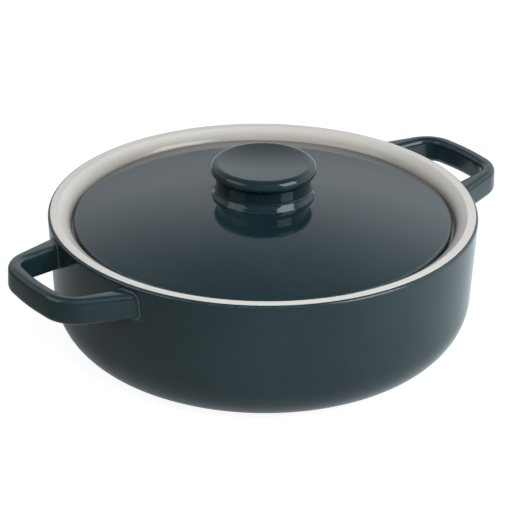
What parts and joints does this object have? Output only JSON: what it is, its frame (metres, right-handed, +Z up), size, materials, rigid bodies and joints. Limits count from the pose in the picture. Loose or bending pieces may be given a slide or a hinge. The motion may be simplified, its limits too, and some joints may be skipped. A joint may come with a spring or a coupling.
{
  "type": "covered casserole dish",
  "caption": "Round stoneware casserole dish with two loop handles and a domed, knobbed lid that drops into a gallery inside the rim.",
  "frame": {"origin": "on the table, under the centre of the dish", "axes": "+Z up along the dish's axis, towards the knob; the two handles lie along X"},
  "size_m": [0.3336, 0.2598, 0.1146],
  "materials": {
    "teal_glaze": "glossy dark teal glaze on stoneware",
    "cream_glaze": "glossy cream glaze"
  },
  "bodies": {
    "dish": {"dish_body": "teal_glaze", "dish_lining": "cream_glaze", "left_handle": "teal_glaze", "right_handle": "teal_glaze"},
    "lid": {"lid_plate": "teal_glaze", "lid_lining": "cream_glaze", "lid_knob": "teal_glaze"}
  },
  "joints": [
    {"name": "lid_lift", "type": "slide", "parent": "dish", "child": "lid", "axis": [0, 0, 1], "range_m": [0, 0.12]}
  ]
}
